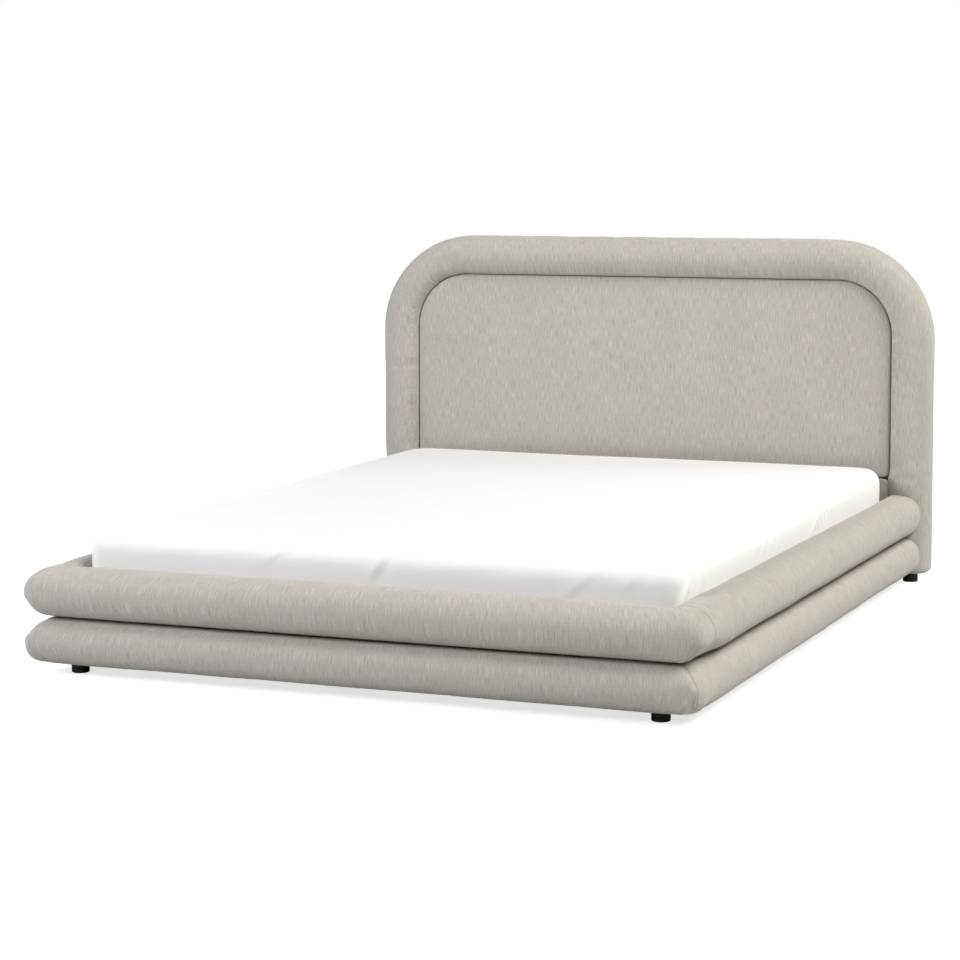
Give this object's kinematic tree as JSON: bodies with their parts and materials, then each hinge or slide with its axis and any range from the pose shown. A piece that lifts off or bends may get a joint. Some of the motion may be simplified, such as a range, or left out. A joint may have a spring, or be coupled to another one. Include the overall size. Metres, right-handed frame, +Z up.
{
  "type": "upholstered bed",
  "caption": "Low upholstered platform bed with an arched padded headboard, stacked bolster rolls round the platform, a slatted base and a lift-off mattress.",
  "frame": {"origin": "on the floor under the middle of the whole bed's outline", "axes": "+X across the bed to the right seen from the foot end, +Y towards the headboard, +Z up"},
  "size_m": [1.764, 2.291, 1.012],
  "materials": {
    "cover_fabric": "woven slub linen and cotton, matt",
    "foam": "open-cell upholstery foam",
    "timber": "planed softwood, unfinished",
    "plywood": "plywood, unfinished",
    "steel": "zinc-plated",
    "black_plastic": "moulded, satin",
    "back_cloth": "plain woven backing cloth",
    "webbing": "woven polyester webbing",
    "sheet_cotton": "plain white cotton",
    "mattress_ticking": "knitted ticking over foam"
  },
  "bodies": {
    "bed_frame": {"headboard_post_left": "timber", "headboard_post_right": "timber", "headboard_top_rail": "timber", "headboard_lower_rail": "timber", "headboard_plywood": "plywood", "headboard_border_foam": "foam", "headboard_border_cover": "cover_fabric", "headboard_panel_foam": "foam", "headboard_panel_cover": "cover_fabric", "headboard_apron_foam": "foam", "headboard_apron_cover": "cover_fabric", "headboard_back_cloth": "back_cloth", "foot_rail": "timber", "side_rail_left": "timber", "side_rail_right": "timber", "foot_upper_roll_foam": "foam", "foot_upper_roll_cover": "cover_fabric", "foot_lower_roll_foam": "foam", "foot_lower_roll_cover": "cover_fabric", "left_upper_roll_foam": "foam", "left_upper_roll_cover": "cover_fabric", "left_lower_roll_foam": "foam", "left_lower_roll_cover": "cover_fabric", "right_upper_roll_foam": "foam", "right_upper_roll_cover": "cover_fabric", "right_lower_roll_foam": "foam", "right_lower_roll_cover": "cover_fabric", "slat_ledger_left": "timber", "slat_ledger_right": "timber", "centre_beam": "timber", "beam_hangers": "steel", "centre_legs": "timber", "centre_leg_glides": "black_plastic", "corner_brackets": "steel", "bracket_screws": "steel", "headboard_bolts": "steel", "headboard_nuts": "steel", "foot_plates": "plywood", "foot_screws": "steel", "foot_front_left": "black_plastic", "foot_front_right": "black_plastic", "foot_rear_left": "black_plastic", "foot_rear_right": "black_plastic"},
    "slat_deck": {"slats": "timber", "slat_straps": "webbing"},
    "mattress": {"mattress_core": "mattress_ticking", "fitted_sheet": "sheet_cotton"}
  },
  "joints": [
    {"name": "deck_lift", "type": "slide", "parent": "bed_frame", "child": "slat_deck", "axis": [0, 0, 1], "range_m": [0, 0.2]},
    {"name": "mattress_lift", "type": "slide", "parent": "slat_deck", "child": "mattress", "axis": [0, 0, 1], "range_m": [0, 0.3]}
  ]
}
